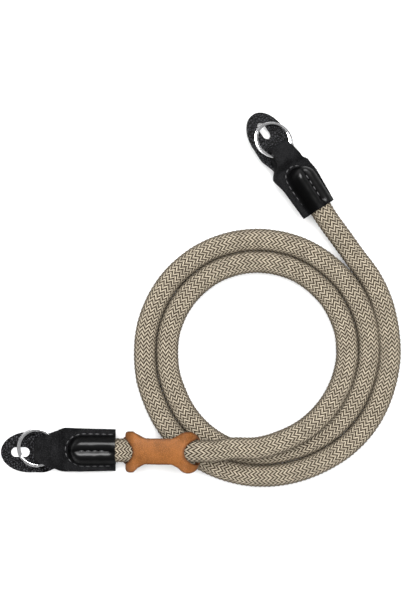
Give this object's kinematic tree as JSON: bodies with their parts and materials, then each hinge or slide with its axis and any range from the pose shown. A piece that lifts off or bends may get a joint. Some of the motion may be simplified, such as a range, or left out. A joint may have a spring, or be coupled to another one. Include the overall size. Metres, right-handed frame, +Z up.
{
  "type": "camera neck strap",
  "caption": "Camera neck strap lying in a loose coil: a braided rope with folded leather ends, split rings on slotted leather pads, and a sliding leather keeper.",
  "frame": {"origin": "on the surface that the strap lies on, under the middle of its leather, rings and slider taken together", "axes": "+Z up from the surface, +X along the left end towards the coil, +Y from the left end towards the upper end"},
  "size_m": [0.1808, 0.1688, 0.0223],
  "materials": {
    "rope_braid": "matte braid",
    "black_leather": "satin",
    "black_pad_leather": "grained",
    "ring_steel": "polished",
    "tan_leather": "satin"
  },
  "bodies": {
    "root": {"rope": "rope_braid", "left_cuff": "black_leather", "upper_cuff": "black_leather", "left_pad": "black_pad_leather", "upper_pad": "black_pad_leather", "left_ring": "ring_steel", "upper_ring": "ring_steel", "slider": "tan_leather"}
  },
  "joints": []
}
